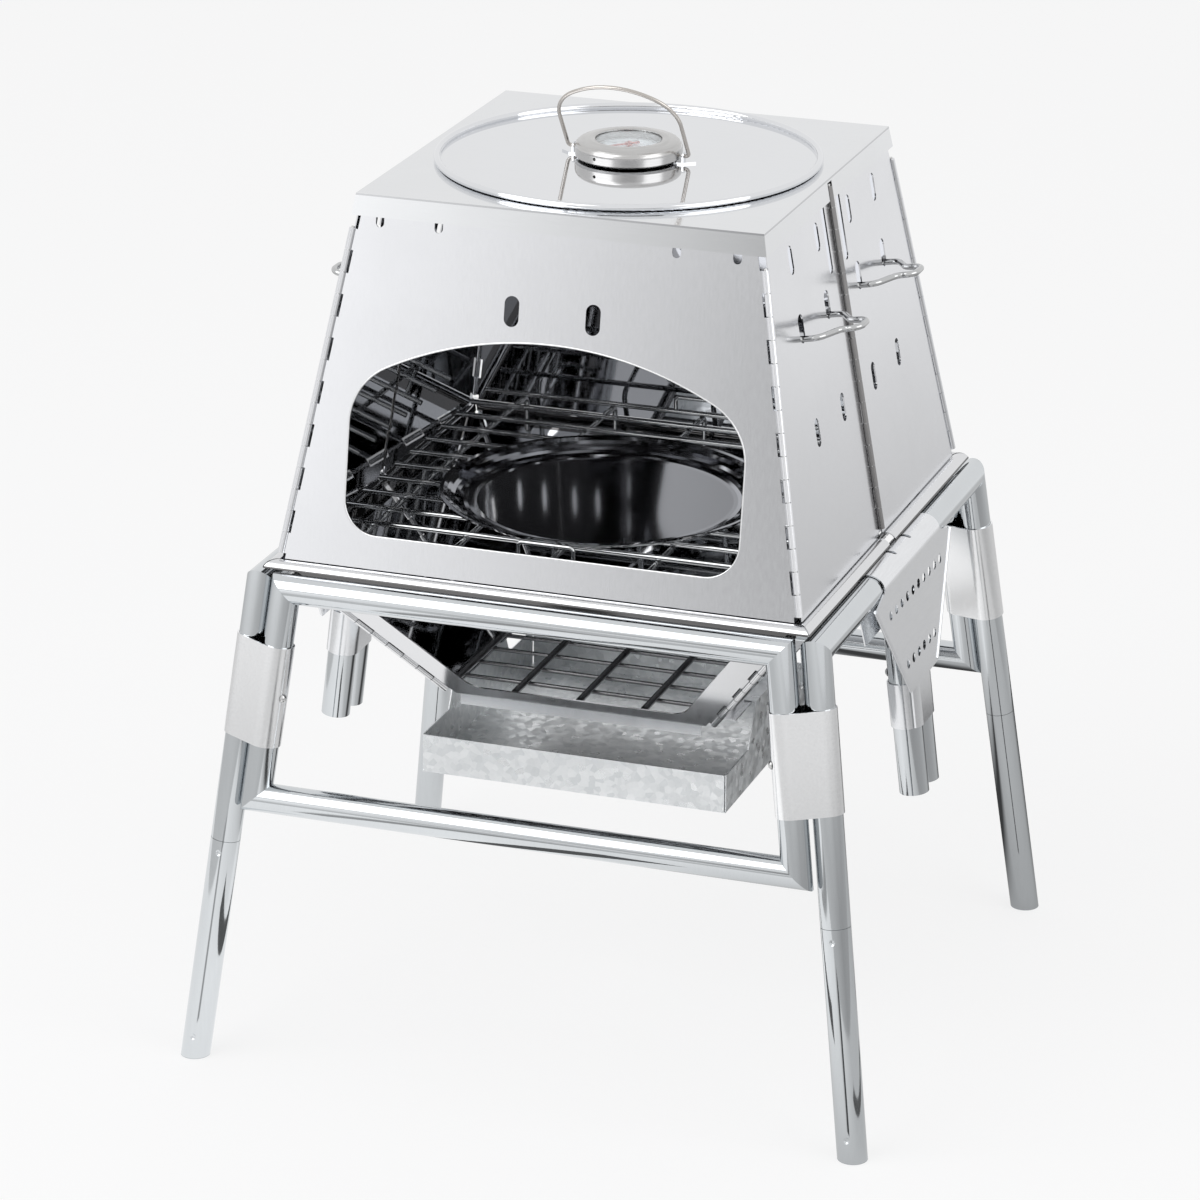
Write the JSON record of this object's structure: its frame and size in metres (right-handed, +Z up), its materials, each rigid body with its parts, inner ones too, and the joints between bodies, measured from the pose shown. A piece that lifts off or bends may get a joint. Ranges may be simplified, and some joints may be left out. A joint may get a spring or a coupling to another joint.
{
  "type": "wood-fired pizza oven",
  "caption": "Collapsible sheet-steel pizza oven: folding hood with an arched mouth over a hopper-shaped fire bowl with grates and ash tray, on a splayed tube stand with lock plates.",
  "frame": {"origin": "on the ground under the middle of the oven", "axes": "+Z up, -Y out of the oven's mouth, +X to the right for someone who faces the mouth"},
  "size_m": [0.5082, 0.473, 0.6825],
  "materials": {
    "tube_steel": "bright zinc-plated tube",
    "lock_steel": "satin stainless sheet",
    "bowl_steel": "polished stainless sheet",
    "hood_steel": "polished stainless sheet",
    "top_steel": "polished stainless sheet",
    "lid_steel": "satin stainless sheet",
    "hinge_wire": "drawn wire",
    "handle_wire": "bright wire",
    "grate_wire": "bright wire",
    "charcoal_wire": "heat-dulled wire",
    "screw_steel": "zinc-plated",
    "pan_black": "gloss black coating",
    "tray_zinc": "galvanised with spangle",
    "case_steel": "turned and brushed",
    "dial_face": "printed matte",
    "needle_paint": "satin paint",
    "clear_glass": "clear",
    "probe_steel": "plain"
  },
  "bodies": {
    "stand": {"front_loop": "tube_steel", "rear_loop": "tube_steel", "side_frame_front_left": "tube_steel", "side_frame_front_right": "tube_steel", "side_frame_rear_left": "tube_steel", "side_frame_rear_right": "tube_steel", "corner_sleeve_front_left": "lock_steel", "corner_sleeve_front_right": "lock_steel", "corner_sleeve_rear_left": "lock_steel", "corner_sleeve_rear_right": "lock_steel", "lock_plate_left": "lock_steel", "lock_plate_right": "lock_steel", "locking_screws": "screw_steel"},
    "leg_front_left": {"lower_leg_front_left": "tube_steel"},
    "leg_front_right": {"lower_leg_front_right": "tube_steel"},
    "leg_rear_left": {"lower_leg_rear_left": "tube_steel"},
    "leg_rear_right": {"lower_leg_rear_right": "tube_steel"},
    "fire_bowl": {"hopper_front_panel": "bowl_steel", "hopper_rear_panel": "bowl_steel", "hopper_side_front_left": "bowl_steel", "hopper_side_front_right": "bowl_steel", "hopper_side_rear_left": "bowl_steel", "hopper_side_rear_right": "bowl_steel", "hopper_hinge_wires": "hinge_wire"},
    "charcoal_grate": {"charcoal_grate_bars": "charcoal_wire", "charcoal_grate_wires": "charcoal_wire"},
    "cooking_grate": {"cooking_grate_rods": "grate_wire", "cooking_grate_carriers": "grate_wire", "grate_lift_loops": "grate_wire"},
    "pan": {"pizza_pan": "pan_black"},
    "tray": {"ash_tray": "tray_zinc"},
    "hood": {"hood_front_panel": "hood_steel", "hood_rear_panel": "hood_steel", "hood_side_front_left": "hood_steel", "hood_side_front_right": "hood_steel", "hood_side_rear_left": "hood_steel", "hood_side_rear_right": "hood_steel", "hood_hinge_wires": "hinge_wire"},
    "handle_front_left": {"side_handle_front_left": "handle_wire"},
    "handle_front_right": {"side_handle_front_right": "handle_wire"},
    "handle_rear_left": {"side_handle_rear_left": "handle_wire"},
    "handle_rear_right": {"side_handle_rear_right": "handle_wire"},
    "top": {"top_plate": "top_steel"},
    "lid": {"round_lid": "lid_steel", "bail_bracket": "lid_steel", "thermometer_case": "case_steel", "thermometer_dial": "dial_face", "thermometer_glass": "clear_glass", "thermometer_probe": "probe_steel", "probe_nut": "screw_steel"},
    "bail": {"lid_bail": "handle_wire"},
    "needle": {"thermometer_needle": "needle_paint"}
  },
  "joints": [
    {"name": "leg_pull_front_left", "type": "slide", "parent": "stand", "child": "leg_front_left", "axis": [-0.1224, -0.0985, -0.9876], "range_m": [0, 0.035]},
    {"name": "leg_pull_front_right", "type": "slide", "parent": "stand", "child": "leg_front_right", "axis": [0.1224, -0.0985, -0.9876], "range_m": [0, 0.035]},
    {"name": "leg_pull_rear_left", "type": "slide", "parent": "stand", "child": "leg_rear_left", "axis": [-0.1224, 0.0985, -0.9876], "range_m": [0, 0.035]},
    {"name": "leg_pull_rear_right", "type": "slide", "parent": "stand", "child": "leg_rear_right", "axis": [0.1224, 0.0985, -0.9876], "range_m": [0, 0.035]},
    {"name": "bowl_lift", "type": "slide", "parent": "stand", "child": "fire_bowl", "axis": [0, 0, 1], "range_m": [0, 0.15]},
    {"name": "charcoal_grate_lift", "type": "slide", "parent": "fire_bowl", "child": "charcoal_grate", "axis": [0, 0, 1], "range_m": [0, 0.08]},
    {"name": "cooking_grate_lift", "type": "slide", "parent": "fire_bowl", "child": "cooking_grate", "axis": [0, 0, 1], "range_m": [0, 0.03]},
    {"name": "pan_draw", "type": "slide", "parent": "cooking_grate", "child": "pan", "axis": [0, -0.9063, 0.4226], "range_m": [0, 0.24]},
    {"name": "tray_draw", "type": "slide", "parent": "fire_bowl", "child": "tray", "axis": [0, -1, 0], "range_m": [0, 0.07]},
    {"name": "hood_lift", "type": "slide", "parent": "fire_bowl", "child": "hood", "axis": [0, 0, 1], "range_m": [0, 0.2]},
    {"name": "handle_swing_front_left", "type": "hinge", "parent": "hood", "child": "handle_front_left", "pos_m": [-0.15454, -0.0665, 0.53547], "axis": [0, 1, 0], "range_deg": [0, 60]},
    {"name": "handle_swing_front_right", "type": "hinge", "parent": "hood", "child": "handle_front_right", "pos_m": [0.15454, -0.0665, 0.53547], "axis": [0, -1, 0], "range_deg": [0, 60]},
    {"name": "handle_swing_rear_left", "type": "hinge", "parent": "hood", "child": "handle_rear_left", "pos_m": [-0.15454, 0.0665, 0.53547], "axis": [0, 1, 0], "range_deg": [0, 60]},
    {"name": "handle_swing_rear_right", "type": "hinge", "parent": "hood", "child": "handle_rear_right", "pos_m": [0.15454, 0.0665, 0.53547], "axis": [0, -1, 0], "range_deg": [0, 60]},
    {"name": "top_lift", "type": "slide", "parent": "hood", "child": "top", "axis": [0, 0, 1], "range_m": [0, 0.1]},
    {"name": "lid_lift", "type": "slide", "parent": "top", "child": "lid", "axis": [0, 0, 1], "range_m": [0, 0.1]},
    {"name": "bail_swing", "type": "hinge", "parent": "lid", "child": "bail", "pos_m": [0, 0, 0.627], "axis": [1, 0, 0], "range_deg": [-112, 45]},
    {"name": "needle_turn", "type": "hinge", "parent": "lid", "child": "needle", "pos_m": [0, 0, 0.63], "axis": [0, 0, 1], "range_deg": [-270, 0]}
  ]
}
